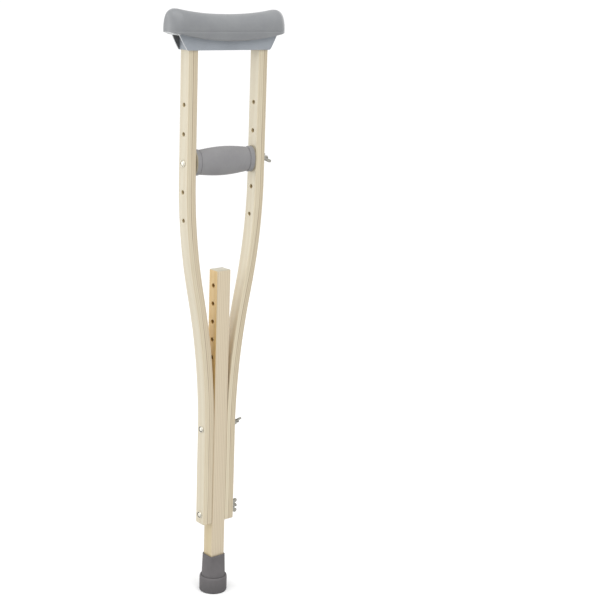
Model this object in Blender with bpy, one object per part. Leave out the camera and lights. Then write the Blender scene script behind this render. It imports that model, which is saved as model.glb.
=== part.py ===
"""Adjustable wooden underarm crutch, small size, at its shortest setting.

Metres, +Z up. The crutch stands on its rubber tip at the origin. X runs across the two bows,
with the bolt heads on -X and the wing nuts on +X. The front faces -Y.
"""
import bpy
import bmesh
from math import asin, atan2, cos, hypot, pi, radians, sin, sqrt, tan
from mathutils import Matrix, Vector

# Clearances between pieces that touch, and round a shank in its hole
GAP = 0.0003
HOLE_CLEARANCE = 0.0003

# The wooden parts share one depth, so their faces lie flush
WOOD_DEPTH = 0.0193
EDGE_ROUND = 0.0010

# Extension leg and the two of its holes that are in use, counted from the top
LEG_LENGTH = 0.4570
LEG_WIDTH = 0.0220
LEG_TOP_HOLE_INSET = 0.0218
LEG_HOLE_PITCH = 0.0254
LEG_HOLE_COUNT = 14
LEG_END_CHAMFER = 0.0012
UPPER_BOLT_HOLE = 8
LOWER_BOLT_HOLE = 13

# Bent bows
BOW_THICKNESS = 0.0147
BOW_HEIGHT = 0.6875
BOW_FOOT_MARGIN = 0.0140
BOW_FOOT_ROUND = 0.0018
BOW_LOWER_STRAIGHT = 0.1335
BOW_LOWER_BEND_RADIUS = 0.935
BOW_MIDDLE_STRAIGHT = 0.0210
BOW_UPPER_BEND_RADIUS = 0.750
BEND_STEPS = 11

# Handle positions, counted from the lowest
HANDLE_HOLE_HEIGHT = 0.4382
HANDLE_HOLE_PITCH = 0.0381
HANDLE_HOLE_COUNT = 5
HANDLE_HOLE_IN_USE = 2

# Oval handgrip between the bows. Its diameters are its heights, and flatness is its depth over them
GRIP_SPACE = 0.0998
GRIP_CORE_DIAMETER = 0.0150
GRIP_SLEEVE_INSET = 0.0006
GRIP_FLATNESS = 0.61
GRIP_MIDDLE_DIAMETER = 0.0390
GRIP_WAIST_DIAMETER = 0.0328
GRIP_COLLAR_DIAMETER = 0.0360
GRIP_COLLAR_LENGTH = 0.0085
GRIP_COLLAR_ROUND = 0.0016
GRIP_GROOVE_DEPTH = 0.0012

# Bolts, washers and wing nuts, with each nut's turn in degrees
BOLT_DIAMETER = 0.0048
BOLT_HEAD_DIAMETER = 0.0095
BOLT_HEAD_HEIGHT = 0.0027
BOLT_END_PAST_NUT = 0.0030
WASHER_DIAMETER = 0.0112
WASHER_THICKNESS = 0.0010
NUT_BASE_DIAMETER = 0.0098
NUT_TOP_DIAMETER = 0.0078
NUT_HEIGHT = 0.0056
WING_SPAN = 0.0214
WING_HEIGHT = 0.0114
WING_TIP_DIAMETER = 0.0062
WING_THICKNESS = 0.0018
HANDLE_NUT_TURN = -60
UPPER_NUT_TURN = 45
LOWER_NUT_TURN = 0

# Wooden crosspiece over the bow tops, and its two countersunk screws
CROSSPIECE_LENGTH = 0.1540
CROSSPIECE_THICKNESS = 0.0130
CROSSPIECE_END_RISE = 0.0040
MORTISE_DEPTH = 0.0080
SCREW_DIAMETER = 0.0040
SCREW_HEAD_DIAMETER = 0.0078
SCREW_LENGTH = 0.0300
SCREW_POINT_LENGTH = 0.0060
SCREW_SINK = 0.0004

# Moulded underarm pad
PAD_LENGTH = 0.1868
PAD_DEPTH = 0.0400
PAD_CROWN = 0.0137
PAD_SADDLE_RISE = 0.0094
PAD_END_ROUND = 0.0160
PAD_PLAN_ROUND = 0.0180
PAD_FULLNESS = 2.3
PAD_MOULD_LINE = 0.0045
PAD_LIP_DROP = 0.0076
PAD_LIP_SAG = 0.0118
PAD_LIP_STEP = 0.0009
SKIRT_DROP = 0.0191
SKIRT_THICKNESS = 0.0018
SKIRT_LENGTH = 0.1340
SKIRT_END_SLANT = 0.0110
SKIRT_ROOT = 0.0010
END_WALL_THICKNESS = 0.0010
END_WALL_RISE = 0.0005

# Rubber foot tip and the steel washer under the leg
TIP_FLOOR = 0.0133
TIP_HEIGHT = 0.0555
TIP_BASE_DIAMETER = 0.0393
TIP_BASE_HEIGHT = 0.0188
TIP_SHOULDER_HEIGHT = 0.0044
TIP_SHOULDER_DIAMETER = 0.0358
TIP_LEDGE_RISE = 0.0006
TIP_FOOT_DIAMETER = 0.0336
TIP_EDGE_ROUND = 0.0018
TIP_RIM_WALL = 0.0018
TIP_RIM_SQUARENESS = 6.5
TREAD_DEPTH = 0.0020
TREAD_CENTRE_DIAMETER = 0.0150
TREAD_LAND_WIDTH = 0.0035
TREAD_GROOVE_WIDTH = 0.0022
TIP_WASHER_DIAMETER = 0.0180
TIP_WASHER_HOLE_DIAMETER = 0.0064
TIP_WASHER_THICKNESS = 0.0016

# Heights above the ground
leg_bottom = TIP_FLOOR + TIP_WASHER_THICKNESS + 2 * GAP
leg_top_hole = leg_bottom + LEG_LENGTH - LEG_TOP_HOLE_INSET
upper_bolt_height = leg_top_hole - UPPER_BOLT_HOLE * LEG_HOLE_PITCH
lower_bolt_height = leg_top_hole - LOWER_BOLT_HOLE * LEG_HOLE_PITCH
bow_foot = lower_bolt_height - BOW_FOOT_MARGIN
bow_top = bow_foot + BOW_HEIGHT
lowest_handle_hole = bow_foot + HANDLE_HOLE_HEIGHT
grip_height = lowest_handle_hole + HANDLE_HOLE_IN_USE * HANDLE_HOLE_PITCH
crosspiece_under = bow_top - MORTISE_DEPTH
crosspiece_top = crosspiece_under + CROSSPIECE_THICKNESS

# Offsets of each bow's centreline from the middle plane, and the bends that join them
low_offset = LEG_WIDTH / 2 + GAP + BOW_THICKNESS / 2
high_offset = GRIP_SPACE / 2 + BOW_THICKNESS / 2
bend_radii = BOW_LOWER_BEND_RADIUS + BOW_UPPER_BEND_RADIUS
bend_reach = hypot(bend_radii, BOW_MIDDLE_STRAIGHT)
splay = atan2(bend_radii, BOW_MIDDLE_STRAIGHT) + asin((high_offset - low_offset - bend_radii) / bend_reach)
bend_start = bow_foot + BOW_LOWER_STRAIGHT
straight_start = bend_start + BOW_LOWER_BEND_RADIUS * sin(splay)
straight_end = straight_start + BOW_MIDDLE_STRAIGHT * cos(splay)
bend_end = straight_end + BOW_UPPER_BEND_RADIUS * sin(splay)

hole_radius = BOLT_DIAMETER / 2 + HOLE_CLEARANCE
nut_stack = 2 * GAP + WASHER_THICKNESS + NUT_HEIGHT


def clear_scene():
    for thing in list(bpy.data.objects):
        bpy.data.objects.remove(thing, do_unlink=True)


def make_material(name, colour, roughness, metallic=0.0):
    """A plain Principled material."""
    material = bpy.data.materials.new(name)
    material.use_nodes = True
    shader = material.node_tree.nodes["Principled BSDF"]
    shader.inputs["Base Color"].default_value = (*colour, 1.0)
    shader.inputs["Roughness"].default_value = roughness
    shader.inputs["Metallic"].default_value = metallic
    material.diffuse_color = (*colour, 1.0)
    return material


def add_object(name, bm, material=None, place=Matrix(), smooth=False):
    """Turns a bmesh into a placed object with outward normals."""
    bmesh.ops.recalc_face_normals(bm, faces=bm.faces)
    for face in bm.faces:
        face.smooth = smooth
    mesh = bpy.data.meshes.new(name)
    bm.to_mesh(mesh)
    bm.free()
    if material:
        mesh.materials.append(material)
    thing = bpy.data.objects.new(name, mesh)
    thing.matrix_world = place
    bpy.context.scene.collection.objects.link(thing)
    return thing


def combine(target, tool, operation="DIFFERENCE"):
    """Adds a live Boolean, and leaves its tool out of the part."""
    modifier = target.modifiers.new(tool.name, "BOOLEAN")
    modifier.operation = operation
    modifier.object = tool
    tool.hide_render = True
    tool.display_type = "WIRE"


def along_x(x, height, turn=0):
    """Places a piece made round Z on an axis along +X, turned about it by an angle in degrees."""
    move = Matrix.Translation((x, 0, height))
    return move @ Matrix.Rotation(radians(turn), 4, "X") @ Matrix.Rotation(pi / 2, 4, "Y")


def at_height(x, height):
    return Matrix.Translation((x, 0, height))


def arc(centre_x, centre_z, radius, start, end, steps):
    """Points on an arc, with its angles in degrees."""
    angles = [radians(start + (end - start) * step / steps) for step in range(steps + 1)]
    return [(centre_x + radius * cos(angle), centre_z + radius * sin(angle)) for angle in angles]


def rounded_rectangle(width, depth, radius, steps=3):
    """Anticlockwise outline points, with the same count for every size."""
    right, back = width / 2 - radius, depth / 2 - radius
    points = arc(right, back, radius, 0, 90, steps)
    points += arc(-right, back, radius, 90, 180, steps)
    points += arc(-right, -back, radius, 180, 270, steps)
    points += arc(right, -back, radius, 270, 360, steps)
    return points


def squircle(width, depth, power, count=40):
    """An outline that is round at power 2 and squarer above."""
    points = []
    for step in range(count):
        x, y = cos(2 * pi * step / count), sin(2 * pi * step / count)
        size = (abs(2 * x / width) ** power + abs(2 * y / depth) ** power) ** (-1 / power)
        points.append((size * x, size * y))
    return points


def level(outline, height):
    """An outline of (x, y) points as a ring at one height."""
    return [Vector((x, y, height)) for x, y in outline]


def loft(rings):
    """Skins closed rings of equal count and caps both ends."""
    bm = bmesh.new()
    loops = [[bm.verts.new(point) for point in ring] for ring in rings]
    count = len(rings[0])
    for lower, upper in zip(loops, loops[1:]):
        for here in range(count):
            after = (here + 1) % count
            bm.faces.new((lower[here], lower[after], upper[after], upper[here]))
    bm.faces.new(reversed(loops[0]))
    bm.faces.new(loops[-1])
    return bm


def prism(outline, depth):
    """An outline of (x, z) points, drawn out evenly to both sides along Y."""
    return loft([[Vector((x, y, z)) for x, z in outline] for y in (-depth / 2, depth / 2)])


def box(low_x, high_x, low_z, high_z, depth):
    return prism([(low_x, low_z), (high_x, low_z), (high_x, high_z), (low_x, high_z)], depth)


def turned(profile, steps, hollow=False):
    """Spins (radius, height) points round Z, as a solid on the axis or as a hollow ring."""
    bm = bmesh.new()
    verts = [bm.verts.new((radius, 0, height)) for radius, height in profile]
    edges = [bm.edges.new(pair) for pair in zip(verts, verts[1:])]
    if hollow:
        edges.append(bm.edges.new((verts[-1], verts[0])))
    bmesh.ops.spin(bm, geom=verts + edges, axis=(0, 0, 1), cent=(0, 0, 0), steps=steps, angle=2 * pi)
    bmesh.ops.remove_doubles(bm, verts=bm.verts, dist=0.000001)
    return bm


def drill_along_x(radius, length, heights):
    """Cylinders along X at each height, as one drilling tool."""
    bm = bmesh.new()
    for height in heights:
        bmesh.ops.create_cone(
            bm, cap_ends=True, segments=16, radius1=radius, radius2=radius, depth=length,
            matrix=along_x(0, height),
        )
    return bm


def bow_line(height):
    """Offset of a bow's centreline from the middle plane, and its lean, at a height."""
    if height <= bend_start:
        return low_offset, 0
    if height <= straight_start:
        lean = asin((height - bend_start) / BOW_LOWER_BEND_RADIUS)
        return low_offset + BOW_LOWER_BEND_RADIUS * (1 - cos(lean)), lean
    if height <= straight_end:
        lower_bend = BOW_LOWER_BEND_RADIUS * (1 - cos(splay))
        return low_offset + lower_bend + (height - straight_start) * tan(splay), splay
    if height <= bend_end:
        lean = asin((bend_end - height) / BOW_UPPER_BEND_RADIUS)
        return high_offset - BOW_UPPER_BEND_RADIUS * (1 - cos(lean)), lean
    return high_offset, 0


def bow_face(height, side):
    """Offset of a bow's outer (side 1) or inner (side -1) face at a height."""
    offset, lean = bow_line(height)
    return offset + side * BOW_THICKNESS / 2 / cos(lean)


def bow_stations():
    """Heights and depths of the outlines that make a bow, from its rounded foot to its top."""
    stations = []
    for across, up in arc(0, BOW_FOOT_ROUND, BOW_FOOT_ROUND, -90, 0, 3):
        stations.append((bow_foot + up, WOOD_DEPTH - 2 * (BOW_FOOT_ROUND - across)))
    for step in range(BEND_STEPS + 1):
        lean = splay * step / BEND_STEPS
        stations.append((bend_start + BOW_LOWER_BEND_RADIUS * sin(lean), WOOD_DEPTH))
    for step in range(BEND_STEPS + 1):
        lean = splay * (1 - step / BEND_STEPS)
        stations.append((bend_end - BOW_UPPER_BEND_RADIUS * sin(lean), WOOD_DEPTH))
    stations.append((bow_top, WOOD_DEPTH))
    return stations


def make_bow(name, side, wood):
    """One bent bow with its handle position holes and its two leg bolt holes."""
    rings = []
    for height, depth in bow_stations():
        offset, lean = bow_line(height)
        ring = []
        for across, y in rounded_rectangle(BOW_THICKNESS, depth, EDGE_ROUND):
            ring.append(Vector((side * (offset + across * cos(lean)), y, height - across * sin(lean))))
        rings.append(ring)
    bow = add_object(name, loft(rings), wood)
    heights = [lowest_handle_hole + step * HANDLE_HOLE_PITCH for step in range(HANDLE_HOLE_COUNT)]
    heights += [upper_bolt_height, lower_bolt_height]
    combine(bow, add_object(name + "_drill", drill_along_x(hole_radius, 2 * GRIP_SPACE, heights)))
    return bow


def make_leg(wood):
    """The leg with its row of setting holes. Its origin is at its foot, on its slide axis."""
    inset = LEG_END_CHAMFER
    rings = []
    for height, shrink in ((0, inset), (inset, 0), (LEG_LENGTH - inset, 0), (LEG_LENGTH, inset)):
        outline = rounded_rectangle(LEG_WIDTH - 2 * shrink, WOOD_DEPTH - 2 * shrink, EDGE_ROUND)
        rings.append(level(outline, height))
    leg = add_object("extension_leg", loft(rings), wood, at_height(0, leg_bottom))
    heights = [leg_top_hole - step * LEG_HOLE_PITCH for step in range(LEG_HOLE_COUNT)]
    combine(leg, add_object("leg_drill", drill_along_x(hole_radius, 2 * LEG_WIDTH, heights)))
    return leg


def make_bolt(name, reach, height, steel):
    """A round-headed bolt through both bows, from head to nut. Reach is the bows' outer face."""
    radius = BOLT_DIAMETER / 2
    head = BOLT_HEAD_DIAMETER / 2
    length = 2 * reach + GAP + nut_stack + BOLT_END_PAST_NUT
    dome = (head ** 2 + BOLT_HEAD_HEIGHT ** 2) / (2 * BOLT_HEAD_HEIGHT)
    spread = 90 - asin(head / dome) * 180 / pi
    profile = [(r, -z) for r, z in arc(0, BOLT_HEAD_HEIGHT - dome, dome, 90, spread, 5)]
    profile += [(radius, 0), (radius, length - radius * 0.4), (radius * 0.6, length), (0, length)]
    form = turned(profile, 16)
    return add_object(name, form, steel, along_x(-reach - GAP, height), smooth=True)


def make_washer(name, reach, height, steel):
    """A flat washer on the right bow's outer face."""
    outer = WASHER_DIAMETER / 2
    profile = [(hole_radius, 0), (outer, 0), (outer, WASHER_THICKNESS), (hole_radius, WASHER_THICKNESS)]
    return add_object(name, turned(profile, 20, hollow=True), steel, along_x(reach + GAP, height))


def wing_outline():
    """One ear of a wing nut, from its root inside the hub to its round tip."""
    tip = WING_TIP_DIAMETER / 2
    root = NUT_TOP_DIAMETER / 2 * 0.85
    ear = [(root, NUT_HEIGHT * 0.12)]
    ear += arc(WING_SPAN / 2 - tip, WING_HEIGHT - tip, tip, -55, 150, 9)
    ear.append((root, NUT_HEIGHT * 0.86))
    return ear


def make_wing_nut(name, reach, height, turn, steel):
    """A wing nut on its washer, with its two ears turned about the bolt."""
    base, top = NUT_BASE_DIAMETER / 2, NUT_TOP_DIAMETER / 2
    place = along_x(reach + 2 * GAP + WASHER_THICKNESS, height, turn)
    hub = [(0, 0), (base, 0), (base, NUT_HEIGHT * 0.2), (top, NUT_HEIGHT), (0, NUT_HEIGHT)]
    nut = add_object(name, turned(hub, 20), steel, place)
    for side, label in ((1, "_ear_a"), (-1, "_ear_b")):
        ear = prism([(side * x, z) for x, z in wing_outline()], WING_THICKNESS)
        combine(nut, add_object(name + label, ear, steel, place), "UNION")
    bore = [(0, -NUT_HEIGHT), (hole_radius, -NUT_HEIGHT), (hole_radius, WING_SPAN), (0, WING_SPAN)]
    combine(nut, add_object(name + "_bore", turned(bore, 16), steel, place))
    return nut


def make_fixing(prefix, height, turn, steel):
    """The bolt, washer and wing nut through both bows at a height."""
    reach = bow_face(height + WASHER_DIAMETER / 2, 1)
    make_bolt(prefix + "_bolt", reach, height, steel)
    make_washer(prefix + "_washer", reach, height, steel)
    make_wing_nut(prefix + "_wing_nut", reach, height, turn, steel)


def sleeve_profile(half, bore):
    """Outline of the grip sleeve: a barrel between two collars, with a groove at each collar."""
    collar, waist = GRIP_COLLAR_DIAMETER / 2, GRIP_WAIST_DIAMETER / 2
    swell = (GRIP_MIDDLE_DIAMETER - GRIP_WAIST_DIAMETER) / 2
    barrel = half - GRIP_COLLAR_LENGTH
    soft = GRIP_COLLAR_ROUND
    right = [(waist + swell * cos(pi / 2 * step / 9), barrel * step / 9) for step in range(9)]
    right += [(waist, barrel - GRIP_GROOVE_DEPTH), (waist - GRIP_GROOVE_DEPTH, barrel)]
    right += arc(collar - soft, barrel + soft + GRIP_GROOVE_DEPTH, soft, -90, 0, 3)
    right += arc(collar - soft, half - soft, soft, 0, 90, 3)
    right.append((bore, half))
    left = [(radius, -height) for radius, height in reversed(right[1:])]
    return left + right


def make_grip(wood, rubber):
    """The grip's drilled wooden core and the oval barrel sleeve moulded round it."""
    half = bow_face(grip_height - GRIP_COLLAR_DIAMETER / 2, -1) - GAP
    core = GRIP_CORE_DIAMETER / 2
    place = along_x(0, grip_height)
    drilled = [(hole_radius, -half), (core, -half), (core, half), (hole_radius, half)]
    add_object("handgrip_core", turned(drilled, 24, hollow=True), wood, place, smooth=True)
    sleeve = turned(sleeve_profile(half - GRIP_SLEEVE_INSET, core + GAP), 32, hollow=True)
    for vert in sleeve.verts:
        if hypot(vert.co.x, vert.co.y) > core + 2 * GAP:
            vert.co.y *= GRIP_FLATNESS
    add_object("handgrip_sleeve", sleeve, rubber, place, smooth=True)


def saddle(x, half_length, end_rise):
    return end_rise * (x / half_length) ** 2


def crosspiece_surface(x):
    """Height of the crosspiece's hollowed top."""
    return crosspiece_top + saddle(x, CROSSPIECE_LENGTH / 2, CROSSPIECE_END_RISE)


def surface_points(half, lift):
    """Points along the crosspiece's top from right to left, lifted by a clearance."""
    places = [half * (1 - step / 8) for step in range(17)]
    return [(x, crosspiece_surface(x) + lift) for x in places]


def screw_form(grow=0.0, above=0.0):
    """A countersunk screw pointing down from its head, or its drill, grown all round."""
    head = SCREW_HEAD_DIAMETER / 2 + grow
    shank = SCREW_DIAMETER / 2 + grow
    end = -SCREW_LENGTH - grow
    profile = [(0, end), (shank, end + SCREW_POINT_LENGTH), (shank, shank - head), (head, 0)]
    if above:
        profile.append((head, above))
    profile.append((0, above))
    return turned(profile, 16)


def make_crosspiece(wood, steel):
    """The wooden piece over the bow tops, with a mortise and a screw for each bow."""
    half = CROSSPIECE_LENGTH / 2
    outline = [(-half, crosspiece_under), (half, crosspiece_under)] + surface_points(half, 0)
    crosspiece = add_object("underarm_crosspiece", prism(outline, WOOD_DEPTH), wood)
    screw_top = crosspiece_surface(high_offset) - SCREW_SINK
    wide = BOW_THICKNESS / 2 + GAP
    floor, roof = crosspiece_under - MORTISE_DEPTH, bow_top + GAP
    for side, label in ((-1, "left"), (1, "right")):
        middle = side * high_offset
        mortise = box(middle - wide, middle + wide, floor, roof, 2 * WOOD_DEPTH)
        combine(crosspiece, add_object(label + "_mortise", mortise))
        place = at_height(middle, screw_top)
        drill = add_object(label + "_pilot_drill", screw_form(HOLE_CLEARANCE, MORTISE_DEPTH), None, place)
        combine(crosspiece, drill)
        combine(bpy.data.objects[label + "_bow"], drill)
        add_object(label + "_crosspiece_screw", screw_form(), steel, place)
    return crosspiece


def pad_lip(x):
    """Height of the pad's lower lip, which sags in the middle."""
    return crosspiece_under - PAD_LIP_DROP + saddle(x, PAD_LENGTH / 2, PAD_LIP_SAG)


def rounding(x, radius):
    """How far a corner of this radius draws in at a place along the pad."""
    past = abs(x) - (PAD_LENGTH / 2 - radius)
    if past <= 0:
        return 0
    return radius - sqrt(max(radius ** 2 - past ** 2, 0))


def pad_ring(x):
    """The pad's outline across its depth: crown, mould line, and the band drawn in to the lip."""
    wide = PAD_DEPTH / 2 - rounding(x, PAD_PLAN_ROUND)
    top = crosspiece_top + PAD_CROWN + saddle(x, PAD_LENGTH / 2, PAD_SADDLE_RISE) - rounding(x, PAD_END_ROUND)
    mould_line = crosspiece_under + PAD_MOULD_LINE
    lip = pad_lip(x)
    lip_wide = min(WOOD_DEPTH / 2 + GAP + SKIRT_THICKNESS + PAD_LIP_STEP, wide * 0.8)
    back = []
    for step in range(9):
        angle = pi / 2 * step / 8
        y = wide * sin(angle) ** (2 / PAD_FULLNESS)
        back.append((y, mould_line + (top - mould_line) * max(cos(angle), 0) ** (2 / PAD_FULLNESS)))
    for step in range(1, 5):
        angle = pi / 2 * step / 4
        back.append((lip_wide + (wide - lip_wide) * cos(angle), mould_line - (mould_line - lip) * sin(angle)))
    front = [(-y, z) for y, z in reversed(back[1:])]
    return [Vector((x, y, z)) for y, z in back + front]


def pad_places():
    """Places of the outlines along the pad, closer together round its ends."""
    half, radius = PAD_LENGTH / 2, PAD_PLAN_ROUND
    right = [half - radius + radius * sin(radians(angle)) for angle in (0, 15, 30, 45, 58, 70, 81, 90)]
    middle = [(half - radius) * step / 7 for step in range(-6, 7)]
    return [-x for x in reversed(right)] + middle + right


def make_pad(rubber):
    """The moulded pad: a saddle cushion over the crosspiece, skirts, and a wall outside each bow."""
    pad = add_object("underarm_pad", loft([pad_ring(x) for x in pad_places()]), rubber, smooth=True)
    skirt_bottom = crosspiece_under - SKIRT_DROP
    low, high = SKIRT_LENGTH / 2, SKIRT_LENGTH / 2 + SKIRT_END_SLANT
    skirt_top = pad_lip(high) + SKIRT_ROOT
    channel_depth = WOOD_DEPTH + 2 * GAP
    skirts = [(-low, skirt_bottom), (low, skirt_bottom), (high, skirt_top), (-high, skirt_top)]
    skirt_block = add_object("skirt_block", prism(skirts, channel_depth + 2 * SKIRT_THICKNESS), rubber)
    combine(pad, skirt_block, "UNION")
    pocket = CROSSPIECE_LENGTH / 2 + GAP
    floor, roof = skirt_bottom - SKIRT_DROP, pad_lip(high)
    outline = [(-PAD_LENGTH, floor), (PAD_LENGTH, floor), (PAD_LENGTH, roof), (pocket, roof)]
    outline += surface_points(pocket, GAP)
    outline += [(-pocket, roof), (-PAD_LENGTH, roof)]
    combine(pad, add_object("pad_channel", prism(outline, channel_depth), rubber))
    near = high_offset + BOW_THICKNESS / 2 + GAP
    far = near + END_WALL_THICKNESS
    wall_bottom, wall_top = skirt_bottom + END_WALL_RISE, crosspiece_under - GAP
    for side, label in ((-1, "left"), (1, "right")):
        wall = box(side * near, side * far, wall_bottom, wall_top, channel_depth + SKIRT_THICKNESS)
        combine(pad, add_object(label + "_end_wall", wall, rubber), "UNION")
    return pad


def tip_rings():
    """The tip's outlines from its rounded ground edge up a sleeve that turns from round to square."""
    base, shoulder = TIP_BASE_DIAMETER, TIP_SHOULDER_DIAMETER
    soft = TIP_EDGE_ROUND
    ledge = TIP_BASE_HEIGHT + TIP_SHOULDER_HEIGHT + TIP_LEDGE_RISE
    rings = []
    for across, up in arc(0, soft, soft, -90, 0, 3):
        wide = base - 2 * (soft - across)
        rings.append(level(squircle(wide, wide, 2), up))
    for step in range(5):
        angle = pi / 2 * step / 4
        wide = shoulder + (base - shoulder) * cos(angle)
        rings.append(level(squircle(wide, wide, 2), TIP_BASE_HEIGHT + TIP_SHOULDER_HEIGHT * sin(angle)))
    wall = GAP + TIP_RIM_WALL
    foot = squircle(TIP_FOOT_DIAMETER, TIP_FOOT_DIAMETER, 2)
    rim = squircle(LEG_WIDTH + 2 * wall, WOOD_DEPTH + 2 * wall, TIP_RIM_SQUARENESS)
    for step in range(6):
        square = (step / 5) ** 0.8
        outline = [
            (low_x + (high_x - low_x) * square, low_y + (high_y - low_y) * square)
            for (low_x, low_y), (high_x, high_y) in zip(foot, rim)
        ]
        rings.append(level(outline, ledge + (TIP_HEIGHT - ledge) * step / 5))
    return rings


def make_tip(rubber, steel):
    """The rubber foot with its square socket, its ringed tread, and the washer under the leg."""
    tip = add_object("foot_tip", loft(tip_rings()), rubber, smooth=True)
    outline = rounded_rectangle(LEG_WIDTH + 2 * GAP, WOOD_DEPTH + 2 * GAP, EDGE_ROUND)
    socket = loft([level(outline, TIP_FLOOR), level(outline, TIP_HEIGHT + TIP_FLOOR)])
    combine(tip, add_object("tip_socket", socket, rubber))
    inner = TREAD_CENTRE_DIAMETER / 2
    for label in ("inner", "outer"):
        outer = inner + TREAD_GROOVE_WIDTH
        groove = [(inner, -TREAD_DEPTH), (outer, -TREAD_DEPTH), (outer, TREAD_DEPTH), (inner, TREAD_DEPTH)]
        combine(tip, add_object(label + "_tread_groove", turned(groove, 40, hollow=True), rubber))
        inner = outer + TREAD_LAND_WIDTH
    hole, edge = TIP_WASHER_HOLE_DIAMETER / 2, TIP_WASHER_DIAMETER / 2
    profile = [(hole, 0), (edge, 0), (edge, TIP_WASHER_THICKNESS), (hole, TIP_WASHER_THICKNESS)]
    add_object("tip_washer", turned(profile, 24, hollow=True), steel, at_height(0, TIP_FLOOR + GAP))
    return tip


def build():
    clear_scene()
    bow_wood = make_material("pale_bow_wood", (0.74, 0.62, 0.44), 0.5)
    leg_wood = make_material("pale_leg_wood", (0.68, 0.54, 0.36), 0.5)
    hidden_wood = make_material("bare_wood", (0.62, 0.47, 0.30), 0.65)
    pad_rubber = make_material("blue_grey_pad_rubber", (0.30, 0.32, 0.34), 0.6)
    grip_rubber = make_material("grey_grip_rubber", (0.28, 0.28, 0.285), 0.65)
    tip_rubber = make_material("dark_grey_tip_rubber", (0.14, 0.13, 0.135), 0.7)
    steel = make_material("zinc_plated_steel", (0.62, 0.62, 0.60), 0.3, 1.0)
    make_bow("left_bow", -1, bow_wood)
    make_bow("right_bow", 1, bow_wood)
    make_crosspiece(hidden_wood, steel)
    make_pad(pad_rubber)
    make_grip(hidden_wood, grip_rubber)
    make_fixing("handgrip", grip_height, HANDLE_NUT_TURN, steel)
    make_leg(leg_wood)
    make_fixing("upper_leg", upper_bolt_height, UPPER_NUT_TURN, steel)
    make_fixing("lower_leg", lower_bolt_height, LOWER_NUT_TURN, steel)
    make_tip(tip_rubber, steel)


build()
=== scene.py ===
from math import acos, asin, atan2, cos, exp, hypot, log, pi, radians, sin, sqrt, tan

import bpy
from mathutils import Matrix, Quaternion, Vector


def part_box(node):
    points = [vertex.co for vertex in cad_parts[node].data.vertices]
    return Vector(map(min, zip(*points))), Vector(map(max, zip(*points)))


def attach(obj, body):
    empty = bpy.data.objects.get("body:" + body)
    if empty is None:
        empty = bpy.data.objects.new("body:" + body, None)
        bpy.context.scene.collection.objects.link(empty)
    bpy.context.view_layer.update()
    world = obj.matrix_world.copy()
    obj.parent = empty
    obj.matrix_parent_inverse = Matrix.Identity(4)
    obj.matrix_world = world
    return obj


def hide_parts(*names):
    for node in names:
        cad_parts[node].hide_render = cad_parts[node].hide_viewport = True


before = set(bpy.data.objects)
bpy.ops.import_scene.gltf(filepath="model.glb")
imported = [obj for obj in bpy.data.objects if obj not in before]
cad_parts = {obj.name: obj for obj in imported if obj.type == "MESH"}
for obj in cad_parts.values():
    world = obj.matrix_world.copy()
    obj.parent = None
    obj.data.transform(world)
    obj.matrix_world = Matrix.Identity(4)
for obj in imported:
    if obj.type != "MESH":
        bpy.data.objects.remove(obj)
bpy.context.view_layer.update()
print("frame loaded,", len(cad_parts), "nodes")

# Small helpers for modelling

tiny = 0.00001
sortFrom = (0.051, 0.031, 0.047)  # turned pieces number their faces by the distance from here


def deselect():
    if bpy.context.object and bpy.context.object.mode == "EDIT":
        bpy.ops.object.mode_set(mode="OBJECT")
    bpy.ops.object.select_all(action="DESELECT")


def makeActive(piece):
    deselect()
    piece.select_set(True)
    bpy.context.view_layer.objects.active = piece


def pick(piece, kind, test):
    # edit mode with the vertices, edges or polygons selected whose corner points pass the test
    makeActive(piece)
    mesh = piece.data
    for group in (mesh.vertices, mesh.edges, mesh.polygons):
        group.foreach_set("select", [False] * len(group))
    for item in getattr(mesh, kind):
        corners = [item.index] if kind == "vertices" else item.vertices
        item.select = bool(test(*[mesh.vertices[corner].co for corner in corners]))
    switches = [kind == name for name in ("vertices", "edges", "polygons")]
    bpy.context.tool_settings.mesh_select_mode = switches
    bpy.ops.object.mode_set(mode="EDIT")


def pickAll(piece):
    pick(piece, "vertices", lambda point: True)


def leaveEdit():
    bpy.ops.object.mode_set(mode="OBJECT")


def settle(piece):
    # puts the piece's place into its mesh
    makeActive(piece)
    bpy.ops.object.transform_apply(location=True, rotation=True, scale=True)


def addBlock(name, size, centre):
    deselect()
    bpy.ops.mesh.primitive_cube_add(size=1, location=centre, scale=size)
    block = bpy.context.object
    block.name = name
    settle(block)
    return block


def applyModifier(piece, kind, **settings):
    makeActive(piece)
    modifier = piece.modifiers.new(kind.title(), kind)
    for key, value in settings.items():
        setattr(modifier, key, value)
    bpy.ops.object.modifier_apply(modifier=modifier.name)


def cut(piece, tool, operation="DIFFERENCE"):
    applyModifier(piece, "BOOLEAN", object=tool, operation=operation, solver="EXACT")
    bpy.data.objects.remove(tool)


def cleanUp(piece, distance=tiny):
    # merges doubles and turns every face outwards
    pickAll(piece)
    bpy.ops.mesh.remove_doubles(threshold=distance)
    bpy.ops.mesh.normals_make_consistent(inside=False)
    leaveEdit()


def drawLine(name, points):
    # a line of edges, extruded point by point
    deselect()
    bpy.ops.mesh.primitive_plane_add(size=0.001, location=points[0])
    line = bpy.context.object
    line.name = name
    settle(line)
    pickAll(line)
    bpy.ops.mesh.merge(type="CENTER")
    for here, after in zip(points, points[1:]):
        step = Vector(after) - Vector(here)
        bpy.ops.mesh.extrude_region_move(TRANSFORM_OT_translate={"value": step})
    leaveEdit()
    return line


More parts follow.
